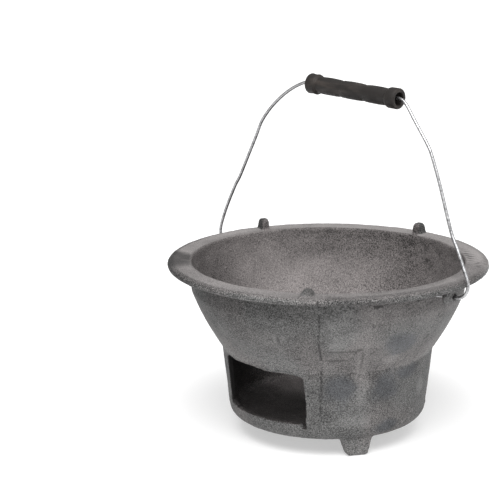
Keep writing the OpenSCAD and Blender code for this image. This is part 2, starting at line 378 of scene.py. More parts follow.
def normals_of(points, quads):
    """Each vertex's outward direction."""
    a, b, c, d = (points[quads[:, i]] for i in range(4))
    face = np.cross(c - a, d - b)
    total = np.zeros_like(points)
    for i in range(4):
        for axis in range(3):
            total[:, axis] += np.bincount(quads[:, i], face[:, axis], len(points))
    return total / np.maximum(np.linalg.norm(total, axis=1), 1e-9)[:, None]


def unit(v):
    return v / np.linalg.norm(v)


def swept(route, radius, sides):
    """Points and faces of a round tube along a route, with flat ends."""
    route = np.array(route)
    ways = np.gradient(route, axis=0)
    side = np.array([0, 0.3, 1.0])
    rings = []
    for at, way in zip(route, ways):
        way = unit(way)
        side = unit(side - (side @ way) * way)
        other = np.cross(way, side)
        turns = np.arange(sides) * 2 * math.pi / sides
        rings.append(at + radius * (np.outer(np.cos(turns), side) + np.outer(np.sin(turns), other)))
    n = len(route)
    faces = [
        [i * sides + k, i * sides + (k + 1) % sides,
         (i + 1) * sides + (k + 1) % sides, (i + 1) * sides + k]
        for i in range(n - 1) for k in range(sides)
    ]
    faces.append(list(range(sides))[::-1])
    faces.append([(n - 1) * sides + k for k in range(sides)])
    return np.concatenate(rings), faces


# ---- Materials ----------


class Nodes:
    """A short way to build a material's node tree."""

    def __init__(self, name):
        self.material = bpy.data.materials.new(name)
        self.material.use_nodes = True
        self.tree = self.material.node_tree
        self.shader = self.tree.nodes["Principled BSDF"]
        self.place = self.add("ShaderNodeTexCoord").outputs["Object"]

    def add(self, kind, **settings):
        node = self.tree.nodes.new(kind)
        for key, value in settings.items():
            setattr(node, key, value)
        return node

    def link(self, source, target):
        self.tree.links.new(source, target)

    def fill(self, socket, value):
        if isinstance(value, bpy.types.NodeSocket):
            self.link(value, socket)
        else:
            socket.default_value = value

    def value(self, name):
        """A number that add_values gave to each vertex."""
        return self.add("ShaderNodeAttribute", attribute_name=name).outputs["Fac"]

    def noise(self, scale, detail=3.0, rough=0.55, stretch=None):
        node = self.add("ShaderNodeTexNoise")
        for key, number in (("Scale", scale), ("Detail", detail), ("Roughness", rough)):
            node.inputs[key].default_value = number
        place = self.place
        if stretch:
            mapping = self.add("ShaderNodeMapping")
            mapping.inputs["Scale"].default_value = stretch
            self.link(place, mapping.inputs["Vector"])
            place = mapping.outputs["Vector"]
        self.link(place, node.inputs["Vector"])
        return node.outputs["Fac"]

    def cells(self, scale):
        node = self.add("ShaderNodeTexVoronoi")
        node.inputs["Scale"].default_value = scale
        self.link(self.place, node.inputs["Vector"])
        return node.outputs["Distance"]

    def spread(self, source, low, high, out_low=0.0, out_high=1.0):
        """The part of a value between low and high, spread over a new range."""
        node = self.add("ShaderNodeMapRange")
        for socket, value in zip(node.inputs[:5], (source, low, high, out_low, out_high)):
            self.fill(socket, value)
        return node.outputs["Result"]

    def sum(self, a, b, operation="ADD"):
        node = self.add("ShaderNodeMath", operation=operation)
        self.fill(node.inputs[0], a)
        self.fill(node.inputs[1], b)
        return node.outputs["Value"]

    def mix(self, share, a, b, blend="MIX"):
        node = self.add("ShaderNodeMix", data_type="RGBA", blend_type=blend)
        self.fill(node.inputs["Factor"], share)
        for socket, colour in zip((node.inputs[6], node.inputs[7]), (a, b)):
            self.fill(socket, colour if not isinstance(colour, tuple) else (*colour, 1.0))
        return node.outputs[2]

    def bump(self, height, strength, distance):
        node = self.add("ShaderNodeBump")
        node.inputs["Strength"].default_value = strength
        node.inputs["Distance"].default_value = distance
        self.link(height, node.inputs["Height"])
        return node.outputs["Normal"]

    def finish(self, colour, roughness, normal, **plain):
        self.link(colour, self.shader.inputs["Base Color"])
        self.fill(self.shader.inputs["Roughness"], roughness)
        self.link(normal, self.shader.inputs["Normal"])
        for key, number in plain.items():
            self.shader.inputs[key.replace("_", " ")].default_value = number
        return self.material


def cast_iron(name, dark, light):
    """Raw sand-cast iron: speckled grey with a pebbly skin, cool smooth patches and dark marks, with
    painted light and shade carried in its tone and dark values.
    """
    n = Nodes(name)
    grain = n.noise(900, 4, 0.75)
    fine = n.noise(2100, 2, 0.6)
    cloud = n.noise(45, 4, 0.6)
    tone = n.sum(n.value("tone"), n.spread(cloud, 0.3, 0.7, -0.07, 0.07))
    smooth = n.value("smooth")
    speckle = n.sum(n.spread(grain, 0.33, 0.67, -0.5, 0.5), n.spread(fine, 0.3, 0.7, -0.35, 0.35))
    speckle = n.sum(speckle, n.spread(smooth, -2.0, 1.0, 1.68, 0.36), "MULTIPLY")
    colour = n.mix(n.sum(tone, speckle), dark, light)
    tint = n.mix(1.0, colour, (0.93, 0.96, 1.03), "MULTIPLY")
    colour = n.mix(n.value("cool"), colour, tint)
    tint = n.mix(1.0, colour, (1.07, 0.98, 0.975), "MULTIPLY")
    colour = n.mix(n.value("warm"), colour, tint)
    pits = n.spread(n.cells(260), 0.02, 0.17, 1.0, 0.0)
    pits = n.sum(pits, n.spread(n.noise(60, 2), 0.48, 0.62), "MULTIPLY")
    # The dark value holds painted shadow as well as pits and marks.
    marks = n.sum(n.sum(pits, 0.6, "MULTIPLY"), n.value("dark"), "MAXIMUM")
    colour = n.mix(marks, colour, (0.016, 0.015, 0.015))
    roughness = n.spread(grain, 0.3, 0.7, 0.50, 0.74)
    height = n.sum(n.sum(grain, n.sum(fine, 0.4, "MULTIPLY")), n.sum(pits, -0.8, "MULTIPLY"))
    normal = n.bump(height, 0.6, 0.0007)
    return n.finish(colour, roughness, normal, Metallic=0.1, Specular_IOR_Level=0.30)


def galvanised_wire():
    """Bright drawn wire, with faint marks along it and dull spots of zinc."""
    n = Nodes("galvanised_wire")
    spots = n.noise(420, 3, 0.7)
    colour = n.mix(n.spread(spots, 0.35, 0.65), (0.28, 0.28, 0.285), (0.60, 0.60, 0.61))
    roughness = n.spread(spots, 0.3, 0.7, 0.24, 0.44)
    normal = n.bump(n.noise(700, 2), 0.25, 0.0002)
    return n.finish(colour, roughness, normal, Metallic=1.0)


def grip_plastic():
    """Dull brown-black moulded plastic with scuffs, and a little dust and a painted highlight on its
    edges.
    """
    n = Nodes("grip_plastic")
    streak = n.noise(90, 4, 0.6, stretch=(0.35, 1.6, 1.6))
    # The edge value is dust and a painted highlight at the collars.
    scuff_and_highlight = n.sum(n.spread(streak, 0.48, 0.75), n.value("edge"), "MAXIMUM")
    colour = n.mix(scuff_and_highlight, (0.0125, 0.0100, 0.0088), (0.044, 0.035, 0.030))
    fine = n.noise(1300, 3, 0.6)
    roughness = n.spread(n.noise(150, 3), 0.3, 0.7, 0.50, 0.70)
    normal = n.bump(n.sum(fine, n.sum(streak, 1.5, "MULTIPLY")), 0.35, 0.0005)
    return n.finish(colour, roughness, normal, Specular_IOR_Level=0.38)


def plain(name, colour, roughness):
    """The floor's material, which isn't part of the object."""
    material = bpy.data.materials.new(name)
    material.use_nodes = True
    shader = material.node_tree.nodes["Principled BSDF"]
    shader.inputs["Base Color"].default_value = (*colour, 1)
    shader.inputs["Roughness"].default_value = roughness
    return material


# ---- The casting's shape ----------


def casting_outline():
    """The section of the casting, as radius and height."""
    half = (RIM_TOP - FLANGE_Z) / 2
    lip = [
        (RIM_R - LIP_W + LIP_W * math.cos(a), RIM_TOP - half + half * math.sin(a))
        for a in np.radians(np.arange(-90, 91, 15))
    ]
    mouth = (MOUTH_R - MOUTH_ROUND, RIM_TOP - MOUTH_ROUND)
    round_r, round_z = BASE_R - BASE_ROUND, FOOT_H + BASE_ROUND
    inner = arc((WAIST_IN_R, WAIST_Z), mouth, BOWL_IN_CURVE_R, 14)
    return (
        [(0, FOOT_H)]
        + arc((round_r, FOOT_H), (BASE_R, round_z), BASE_ROUND, 8)
        + arc((WAIST_R, WAIST_Z), (NECK_R, NECK_Z), BOWL_CURVE_R, 10)
        + [(NECK_R, FLANGE_Z - 4), (NECK_R + 3, FLANGE_Z)]
        + lip
        + arc((MOUTH_R, RIM_TOP), mouth, MOUTH_ROUND, 4)
        + inner[::-1]
        + [(BASE_R - WALL, round_z)]
        + arc((round_r - 1, FLOOR_Z), (BASE_R - WALL, round_z), BASE_ROUND, 5)[::-1]
        + [(0, FLOOR_Z)]
    )


def radial(x, y, angle):
    """Coordinates outwards and sideways, for a feature at an angle from the front."""
    s, c = math.sin(angle), math.cos(angle)
    return x * s - y * c, x * c + y * s


def add_lug(field, node):
    """A pot lug: a rib along the radius with sloping ends and a worn, rounded top."""
    angle, top, thick = direction_of(node), box_mm(node)[1][2], LUG_T[node]
    sunk, rounding, fillet, reach = 3.0, 1.2, 1.8, 16
    height = (top - RIM_TOP + sunk) / 2
    middle = LUG_R + LUG_FOOT_LEN / 2
    shift = LUG_NEAR_SLANT + (LUG_TOP_LEN - LUG_FOOT_LEN) / 2

    def how(values, x, y, z):
        out, side = radial(x, y, angle)
        up = (z - RIM_TOP) / (top - RIM_TOP)
        worn = 1.2 * ramp(up, 0.65, 1.0)
        half = LUG_FOOT_LEN / 2 + (LUG_TOP_LEN - LUG_FOOT_LEN) / 2 * up - worn
        # The broad front lug narrows as it rises, and the others hardly do.
        wide = thick / 2 * (1.04 - 0.04 * thick * (thick > 10) * np.clip(up, 0, 1)) - 0.4 * worn
        shape = block(out - middle - shift * up, side, z - RIM_TOP + sunk - height,
                      (half, wide, height), rounding)
        return joined(values, shape, fillet)

    at = middle * np.array([math.sin(angle), -math.cos(angle)])
    field.change((*(at - reach), RIM_TOP - 6), (*(at + reach), top + 4), how)


def add_foot(field, angle):
    """A short foot that tapers down, with a slight lean to one side."""
    middle = FOOT_R - FOOT_T / 2
    buried, lean, flare, rounding, fillet, reach = 6.0, 0.9, 0.05, 2.4, 3.0, 26

    def how(values, x, y, z):
        out, side = radial(x, y, angle)
        half = FOOT_TIP_W / 2 + (FOOT_TOP_W - FOOT_TIP_W) / 2 * z / FOOT_H
        height = (FOOT_H + buried) / 2
        shape = block(out - middle, side - lean * (1 - z / FOOT_H), z - height - SKIN_INSET,
                      (FOOT_T / 2 + flare * z, half, height), rounding)
        return joined(values, shape, fillet)

    at = middle * np.array([math.sin(angle), -math.cos(angle)])
    field.change((*(at - reach), -3), (*(at + reach), FOOT_H + 14), how)


def add_ear(field, node):
    """A drilled ear under the flange. The drill went through behind its middle."""
    (x0, y0, z0), (x1, y1, z1) = box_mm(node)
    middle_x, middle_y = (x0 + x1) / 2, (y0 + y1) / 2
    hole_y, hole_z = BAIL_AXIS[1], BAIL_AXIS[2] + EAR_HOLE_R - WIRE_R - 0.05
    rounding, fillet, hole_depth, hole_edge = 1.1, 1.2, 4, 0.3

    def how(values, x, y, z):
        up = (z - z0) / (z1 - z0)
        half = EAR_TIP_W / 2 + (EAR_W - EAR_TIP_W) / 2 * up
        height = (z1 - z0 + 2) / 2
        plate = block(x - middle_x, y - middle_y, z - z0 - height,
                      ((x1 - x0) / 2, half, height), rounding)
        hole = np.hypot(y - hole_y, z - hole_z) - EAR_HOLE_R
        hole = np.maximum(hole, np.abs(x - middle_x) - hole_depth)
        return cut(joined(values, plate, fillet), hole, hole_edge)

    field.change((x0 - 5, y0 - 6, z0 - 4), (x1 + 5, y1 + 6, z1 + 4), how)


def sill_height(x):
    """The sill is slightly ragged where its core broke off, and has a notch at its +X end."""
    ragged = 0.35 * line_noise(x, 4.0, 11) + 0.25 * line_noise(x, 1.8, 12)
    raised_end = 1.4 * ramp(-x, 36, 44)
    notch = ramp(x, DRAFT_W / 2 - NOTCH_W - 0.8, DRAFT_W / 2 - NOTCH_W + 0.4)
    return SILL_Z + ragged + raised_end - NOTCH_D * notch


def cut_draft_opening(field):
    """The draft opening, with a slightly uneven outline that droops towards +X."""

    def how(values, x, y, z):
        pinch = 1.9 * ramp(-z, -46, -36) * (x > 0)
        side = DRAFT_W / 2 + 0.2 + 0.25 * line_noise(z, 9.0, 13) - pinch - np.abs(x)
        droop = 1.1 * ramp(x, -4, 14) + 1.3 * ramp(x, 34, 45)
        top = DRAFT_TOP_Z + 0.3 + 0.25 * line_noise(x, 9.0, 14) - droop - z
        corner = DRAFT_ROUND - np.hypot(
            np.minimum(side - DRAFT_ROUND, 0), np.minimum(top - DRAFT_ROUND, 0)
        )
        inside = np.minimum(np.minimum(side, top), corner)
        hole = np.maximum(-inside, sill_height(x) - z)
        return cut(values, hole + 0 * y, 0.6)

    half = DRAFT_W / 2 + 6
    field.change((-half, -BASE_R - 20, SILL_Z - 12), (half, -45, DRAFT_TOP_Z + 8), how)


# ---- The casting's skin ----------

# Patches on the outer wall, each as (angle from the front, height, half length, half width, tilt).
COOL_PATCHES = [
    (76, 112, 16, 12, -10), (48, 69, 15, 18, 0), (74, 67, 17, 13, 4), (89, 77, 17, 7, 8),
    (77, 27, 13, 7, 10), (250, 60, 40, 20, 10), (190, 110, 30, 14, -15), (320, 60, 26, 12, 20),
]
LIGHT_PATCHES = [
    (57, 122, 18, 14, 0), (60, 68, 6, 20, 0), (58, 92, 7, 16, 0), (54, 37, 22, 8, 4),
    (47, 115, 12, 10, 0), (63, 145, 20, 8, 0), (74, 95, 12, 5, -5), (104, 58, 7, 9, 0),
    (225, 110, 24, 14, 30),
]
# Thin dark marks on the outer wall, where the mould was scratched.
MARKS = [
    (48, 108.5, 16, 1.5, 0), (55.5, 110, 4, 2.2, 8), (58, 97, 1.3, 11, 4), (46, 99, 13, 1.4, 2),
    (91.5, 112, 4, 1.8, 35), (93.5, 133, 1.8, 4, -25), (54, 108, 1.8, 2.4, 0), (20, 118, 2, 5, 0),
]
# Broad changes of tone on the outer wall, each as (change, height, its spread, angle, its spread).
WALL_TONES = [
    (-0.05, 134, 13, -1, 11), (-0.06, 151, 7, 1, 11), (0.07, 146, 8, 39, 8),
    (0.07, 128, 11, 45, 6), (-0.05, 37, 6, 9, 19), (0.07, 82, 4, -2, 12), (0.05, 98, 12, 64, 9),
]


def patches(points, shapes, seed):
    """1 inside a set of patches with soft, broken edges, and 0 outside them."""
    x, y, z = points.T
    r, angle = np.hypot(x, y), np.arctan2(x, -y)
    ragged = 0.30 * noise(points, 14, seed) + 0.16 * noise(points, 5, seed + 1)
    total = np.zeros(len(points))
    for at, level, long, wide, tilt in shapes:
        u, v = angle_from(angle, math.radians(at)) * r, z - level
        c, s = math.cos(math.radians(tilt)), math.sin(math.radians(tilt))
        away = np.hypot((u * c + v * s) / long, (v * c - u * s) / wide)
        total = np.maximum(total, 1 - ramp(away + ragged, 0.45, 1.25))
    return total


def bells(x, *spots):
    """The sum of several bells, each as (height, place, width)."""
    return sum(height * bell(x - place, width) for height, place, width in spots)


def iron_skin(points, seed, grain):
    """How far sand-cast iron stands in or out at each point."""
    wave = 0.22 * noise(points, 30, seed) + 0.14 * noise(points, 11, seed + 1)
    pebble = 0.10 * noise(points, 4.2, seed + 2) + 0.15 * noise(points, 2.2, seed + 3)
    return wave + pebble * grain


class CastingSkin:
    """How the casting's surface is displaced and coloured at each of its points.

    turn is the angle in degrees from the front, and back the same from the far side. The names
    of surfaces, such as inside or lip, are shares from 0 to 1 at each point.
    """

    def __init__(self, points, normals):
        self.points = points
        self.x, self.y, self.z = points.T
        self.r = np.hypot(self.x, self.y)
        self.angle = np.arctan2(self.x, -self.y)
        self.turn = np.degrees(self.angle)
        self.back = np.degrees(angle_from(self.angle, math.radians(FAR_SIDE)))
        self.rear_fade = 1 - ramp(np.abs(self.turn), 135, 175)
        self.lift = np.zeros(len(points))
        self.dark = np.zeros(len(points))
        self.find_surfaces(normals)

    def find_surfaces(self, normals):
        """Tells the flange, the lip, the lugs, the inside and the outside from each other."""
        x, y, z, r = self.x, self.y, self.z, self.r
        up = normals[:, 2]
        facing = (normals[:, 0] * x + normals[:, 1] * y) / np.maximum(r, 1)
        on_flange = ramp(r, MOUTH_R - 0.8, MOUTH_R + 0.8) * ramp(z, RIM_TOP - 4, RIM_TOP - 2)
        self.on_lug = ramp(z, RIM_TOP + 0.8, RIM_TOP + 2.2)
        self.on_top = ramp(up, 0.55, 0.92) * on_flange * (1 - self.on_lug)
        inside = ramp(-facing, 0.05, 0.4) * (1 - self.on_top)
        self.inside = np.maximum(inside, ramp(up, 0.6, 0.9) * (z < WAIST_Z))
        self.outside = (1 - self.inside) * (1 - self.on_top)
        self.ash_pit = self.inside * (z < WAIST_Z + 4)
        self.lip = ramp(r, RIM_R - 7.5, RIM_R - 4) * ramp(z, FLANGE_Z - 2, FLANGE_Z)
        self.flange = self.on_top * (1 - self.lip)
        self.under_flange = bell(z - FLANGE_Z + 4, 9) * self.outside
        within = (np.abs(x) < DRAFT_W / 2 + 2) * (z > SILL_Z + 1.5) * (z < DRAFT_TOP_Z + 3)
        self.cut_face = (y < 0) * (np.abs(facing) < 0.7) * (np.abs(up) < 0.7) * within

    def noise(self, size, seed):
        return noise(self.points, size, seed)

    def arc_from(self, angle):
        """The distance round the Z axis from an angle in radians."""
        return angle_from(self.angle, angle) * self.r

    def darken(self, amount):
        self.dark = np.maximum(self.dark, amount)

    def add_seams(self):
        """The mould's parting lines: a ridge with a step in it, broken up along its length."""
        z = self.z
        for i, seam in enumerate(SEAMS):
            off = self.arc_from(seam) + 1.2 * self.noise(24, 40 + i)
            along = noise(self.points * [0, 0, 1] + [0, 0, 300 * i], 6, 50 + i)
            line = bell(off, 0.9) * self.outside * ramp(z, 30, 44)
            step = 0.25 * self.outside * bell(off - 3, 2.5)
            self.lift += -0.45 * line * ramp(along, -0.6, 0.4) + step
            shown = ramp(along + 0.9 * ramp(-z, -86, -76), -0.6, 0.0)
            shown = shown * ramp(self.noise(2.5, 55 + i), -0.7, 0.0)
            strength = 0.85 if i == 0 else 0.5
            self.darken(bell(off, 1.0) * self.outside * shown * ramp(z, 38, 48) * strength)
            ends = bell(z - FLANGE_Z + 6, 4) + bell(z - FOOT_H - 8, 3)
            self.lift += 0.9 * bell(off, 2.2) * ends * self.outside

    def add_flange_step(self):
        """The last seam crosses the flange as a raised step on a slant, with a dark foot."""
        r = self.r
        slant = 0.8 * np.clip(144 - r, -4, 14)
        off = self.arc_from(SEAMS[-1]) + 2.5 * self.noise(16, 61)
        begin = off - slant
        on_edge = ramp(r, RIM_R - 6, RIM_R - 2) * ramp(self.z, FLANGE_Z, FLANGE_Z + 3)
        across = np.clip(self.on_top + 0.7 * on_edge, 0, 1)
        flat = across * (1 - ramp(r, RIM_R - 7, RIM_R - 3))
        self.lift += flat * (0.8 * bell(begin + 28, 8) - 0.5 * bell(begin + 8, 16))
        foot = ramp(begin, -26, -16) * (1 - ramp(off + slant, 24, 50))
        smear = ramp(self.noise(14, 62) + 0.5 * self.noise(5, 60), -1.6, 0.0)
        self.darken(0.75 * across * foot * smear)
        self.ridge = flat * bell(begin + 28, 7)

    def add_gate(self):
        """The broken place where the gate was knocked off, with scratches beside the mouth."""
        r = self.r
        off = self.arc_from(GATE)
        drift = off + 0.6 * (r - 131) + 1.2 * self.noise(5, 65)
        comb = ramp(np.sin(drift * 2 * math.pi / SCRATCH_PITCH) + 0.7 * self.noise(7, 66), -0.2, 0.4)
        scratch = comb * bell(r - 132, 5) * bell(off - 12, 21)
        scratch = scratch * ramp(r, MOUTH_R - 1, MOUTH_R + 1) * self.on_top
        self.lift -= 0.35 * scratch
        self.darken(0.85 * scratch)
        chip = bell(off + 24, 15) * bell(r - 140, 6) * self.on_top
        self.lift += chip * (0.9 * self.noise(6, 63) + 0.5 * self.noise(3, 64))
        self.darken(0.6 * chip * ramp(self.noise(3.5, 59), 0.0, 0.35))

    def add_soot_and_shade(self):
        """Burnt-on blotches inside, a near-black left side to the draft opening, dark specks with
        the flange's painted shadow under the flange, and pits all over.
        """
        z = self.z
        beside_gate = bell(self.arc_from(math.radians(172)), 40) * bell(z - 150, 11)
        far_edge = 0.7 * bell(self.arc_from(math.radians(215)), 60) * bell(z - 160, 5)
        mottle = ramp(self.noise(6, 67) + 0.8 * self.noise(2.6, 68), 0.0, 0.8)
        self.darken(0.78 * np.maximum(beside_gate, far_edge) * self.inside * mottle)
        self.darken(0.9 * self.cut_face * (self.x < 0))
        # Under the flange, real dark specks and the flange's painted shadow, in one speckled band.
        speck = ramp(self.noise(2.0, 75) + 0.4 * self.noise(7, 76), 0.22, 0.5)
        self.darken(0.85 * speck * self.under_flange)
        pit = ramp(self.noise(3.1, 69), 0.60, 0.82)
        self.darken(0.42 * pit * (1 - 0.8 * self.on_top))

    def add_patches(self):
        """The cool smooth patches, the pale ones and the thin marks on the outer wall."""
        wall = self.outside * (self.r < RIM_R - 14)
        self.cool = patches(self.points, COOL_PATCHES, 72) * wall
        self.light = patches(self.points, LIGHT_PATCHES, 77) * wall
        self.darken(0.5 * patches(self.points, MARKS, 79) * wall)

    def flange_tone(self):
        """Pale on top, as painted light where the flange faces up, darker along its mouth, and
        darker towards its outer edge as painted shade.
        """
        r, turn, back = self.r, self.turn, self.back
        far_rim = ramp(back, -106, -92) * (1 - ramp(back, 68, 84)) * (1 - 0.5 * ramp(back, 42, 66))
        return (
            0.55 + 0.27 * far_rim + bells(turn, (0.18, 4, 28), (0.14, 134, 12))
            # Painted shade towards the flange's outer edge on the right.
            - 0.16 * ramp(r, 136, 141) * bell(turn - 60, 34)
            - 0.13 * ramp(r, 138, 142) * bell(turn - 62, 16)
            - ramp(-r, -136, -132) * (bells(turn, (0.10, 62, 12)) + bells(back, (0.22, 34, 24)))
            - 0.12 * ramp(-r, -137, -132) * bell(back + 78, 16)
            + 0.20 * bell(r - 137, 3) * bell(turn - 90, 15)
        )

    def lip_tone(self):
        """The flange's rounded edge, palest in front, and darker below as painted shade where it
        turns down.
        """
        turn = self.turn
        return (
            0.22 + bells(turn, (0.26, 22, 22), (0.09, 66, 20), (0.06, -52, 14))
            + 0.09 * ramp(turn, 50, 80) * self.rear_fade
            # Painted shade on the outer side of the edge, where it turns down.
            - 0.14 * ramp(self.r, 147.3, 149) * bells(turn, (1, 62, 28), (1, -32, 16))
            + 0.34 * ramp(turn, 104, 124) + 0.30 * ramp(-turn, 70, 110)
        )

    def inside_tone(self):
        """The bowl is darker at both sides, and along its top as painted shade where its steep upper
        wall gets less light, and palest at the back.
        """
        z, back = self.z, self.back
        front_fade = 1 - ramp(back, 135, 175)
        sides = np.maximum((0.15 + 0.13 * front_fade) * ramp(back, 30, 64),
                           0.15 * ramp(-back, 18, 42))
        # Painted shade along the bowl's steep top.
        top = 0.17 * front_fade * ramp(z, 128, 146)
        top = top * (1 - 0.6 * ramp(back, 8, 28)) * (1 - ramp(-back, 24, 46))
        darkening = np.maximum(sides * (1 - 0.4 * ramp(z, 148, 157)), top)
        darkening += 0.07 * ramp(z, 152, 159)
        darkening -= 0.13 * bell(back - 19, 13) * (1 - ramp(z, 116, 136))
        darkening += 0.05 * bell(z - 148, 11) * bell(back + 30, 15)
        darkening += 0.09 * bell(z - 161, 6) * bell(back + 50, 18)
        return 0.60 - darkening

    def outside_tone(self):
        """The outer wall, darker low down and under the flange, with broad changes round it and a
        painted highlight just above the waist on the right.
        """
        z, turn = self.z, self.turn
        spots = sum(
            change * bell(z - level, tall) * bell(turn - at, wide)
            for change, level, tall, at, wide in WALL_TONES
        )
        return (
            0.10 * (z < FOOT_H) - 0.12 * (z < WAIST_Z - 1) + spots
            - 0.04 * ramp(z, 92, 112) * bell(turn - 14, 20)
            - 0.11 * ramp(z, 84, 125) * ramp(-turn, -14, 24) * self.rear_fade
            - 0.05 * (z > 90) * bell(turn + 28, 8)
            - 0.11 * ramp(-z, -WAIST_Z, -76) * bell(turn + 36, 7)
            - 0.04 * (z < WAIST_Z) * bell(turn - 98, 9)
            # A painted highlight along the waist's crease on the right.
            + 0.06 * bell(z - WAIST_Z - 5, 3.5) * bell(turn - 100, 26)
        )

    def tone(self):
        """How pale the iron is, from 0 to 1, with painted light and shade in it."""
        z, turn = self.z, self.turn
        # Painted shade under the flange: the outer wall darkens towards it, less so past about 45
        # degrees towards +X.
        under = 0.13 * ramp(z, 100, 150) * (1 - 0.75 * ramp(turn, 36, 50) * self.rear_fade)
        off_front_lug = np.abs(turn - np.degrees(direction_of("pot_lug_front"))) > 12
        return (
            (0.43 - under) * self.outside * (1 - self.lip) + self.outside_tone() * self.outside
            + self.inside_tone() * self.inside
            + self.flange_tone() * self.flange + self.lip_tone() * self.lip
            - 0.075 * self.cool + 0.15 * self.light + 0.14 * self.ridge
            # Painted shade inside the ash pit, a little less near its floor.
            - (0.48 - 0.17 * ramp(-z, -58, -34)) * self.ash_pit
            - 0.13 * self.on_lug * off_front_lug
            + 0.04 * self.noise(38, 70) + 0.05 * self.noise(13, 71)
        )

    def roughness(self):
        """How much coarser than elsewhere the grain is."""
        z, turn = self.z, self.turn
        bowl = self.inside * (z > WAIST_Z)
        return (
            1.7 * self.lip * bell(turn - 20, 80) + 0.35 * self.flange * bell(turn - 15, 60)
            + 0.9 * bowl * ramp(-z, -125, -98)
            + 0.8 * bowl * (z > WAIST_Z + 4) * bell(self.back + 36, 22)
            + 0.8 * self.outside * bell(z - WAIST_Z - 5, 5) + 0.6 * self.outside * (z < FOOT_H)
        )


def casting_details(points, normals):
    """Displacement, grain and surface values for the casting, from where each point lies."""
    skin = CastingSkin(points, normals)
    skin.add_seams()
    skin.add_flange_step()
    skin.add_gate()
    skin.add_soot_and_shade()
    skin.add_patches()
    warm = 0.9 * skin.inside + 0.6 * skin.on_top
    warm = warm + 0.5 * skin.outside * ramp(skin.noise(30, 73), -0.3, 0.6)
    worn = 0.35 * skin.on_top * (1 - bell(skin.turn - 15, 60))
    smooth = np.clip(0.9 * skin.cool + worn - skin.roughness(), -2, 1)
    grain = (1 - 0.6 * np.clip(smooth, -0.4, 1)) * (1 + 0.5 * skin.under_flange)
    values = {
        "tone": skin.tone(), "dark": skin.dark, "cool": skin.cool,
        "warm": np.clip(warm, 0, 1) * (1 - skin.cool), "smooth": smooth,
    }
    return skin.lift, grain, values


def iron_piece(name, field, material, details, seed):
    """An object from a field, with its iron skin and the values its material reads."""
    points, quads = field.surface()
    normals = normals_of(points, quads)
    lift, grain, values = details(points, normals)
    points += normals * (lift + iron_skin(points, seed, grain) - SKIN_INSET)[:, None]
    points[:, 2] = np.maximum(points[:, 2], 0)
    made = mesh_object(name, points, quads, material)
    for key, value in values.items():
        add_values(made, key, value)
    return made


def make_casting():
    half = RIM_R + 4
    field = Field((-half, -half, -4), (half, half, RIM_TOP + 16), GRID_STEP)
    field.turned(casting_outline(), 2)
    for node in LUGS:
        add_lug(field, node)
    for node in FEET:
        add_foot(field, direction_of(node))
    for node in EARS:
        add_ear(field, node)
    cut_draft_opening(field)
    iron = cast_iron("cast_iron", (0.010, 0.010, 0.010), (0.300, 0.297, 0.293))
    made = iron_piece("stove_casting", field, iron, casting_details, 1)
    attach(made, "stove")
    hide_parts("rim_flange", "bowl_neck", "fire_bowl", "ash_base", "base_floor",
                *FEET, *LUGS, *EARS)


# ---- The grate ----------


def make_grate():
    low, high = box_mm("charcoal_grate")
    outer, thick = high[0], high[2] - low[2]
    middle_z = (low[2] + high[2]) / 2
    ring_w, bar_w, slot_w, slot_draft, edge = 9.0, 8.0, 9.0, 0.05, 1.2
    pitch = bar_w + slot_w
    half = outer + 3
    field = Field((-half, -half, low[2] - 3), (half, half, high[2] + 3), GRID_STEP)
    field.turned([(0, low[2]), (outer, low[2]), (outer, high[2]), (0, high[2])], 1)

    def slots(values, x, y, z):
        row = (y + slot_w / 2) % pitch - slot_w / 2
        across = np.abs(row) - slot_w / 2 + slot_draft * (middle_z - z)
        hole = np.maximum(np.maximum(across, bar_w / 2 - np.abs(x)),
                          np.hypot(x, y) - (outer - ring_w))
        return cut(values, hole, edge)

    field.change((-outer, -outer, low[2] - 3), (outer, outer, high[2] + 3), slots)

    def details(points, normals):
        """Sooty iron, rubbed paler on its faces, with ash on top."""
        none = np.zeros(len(points))
        face = ramp(np.abs(points[:, 2] - middle_z), thick / 2 - 1.5, thick / 2)
        tone = 0.25 + 0.12 * face + 0.1 * noise(points, 18, 81)
        ash = ramp(noise(points, 9, 82) + 0.5 * noise(points, 3, 83), -0.1, 0.7)
        values = {"tone": tone, "dark": 0.25 * (1 - face), "cool": none,
                  "warm": 0.5 * ash * (normals[:, 2] > 0.5), "smooth": none}
        return none, none + 1, values

    iron = cast_iron("grate_iron", (0.016, 0.015, 0.015), (0.200, 0.190, 0.182))
    made = iron_piece("cast_grate", field, iron, details, 5)
    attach(made, "grate")
    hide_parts("charcoal_grate")


# ---- The bail and its grip ----------

BAIL_LEAN = math.radians(7)
TAIL_RISE = math.radians(14)
BAIL_UP = np.array([0, math.sin(BAIL_LEAN), math.cos(BAIL_LEAN)])
TAIL_WAY = np.array([0, -math.cos(TAIL_RISE), math.sin(TAIL_RISE)])
LEG_X, GRIP_H, GRIP_X, HOOK_R = 153.4, 170.5, 3.7, 11.0
TAIL_X, TAIL_BEND_R, TAIL_LEN, THROUGH_EAR_X = 133.3, 3.5, 19.0, (138, 139.5, 141)
GRIP_SLOPE = math.radians(2.3)
WIRE_INSET, CUT_BEVEL = 0.03, 0.25


def top_h(x):
    """Height of the wire above the bail's axis where it is straight, inside the grip."""
    return GRIP_H - (x - GRIP_X) * math.tan(GRIP_SLOPE)


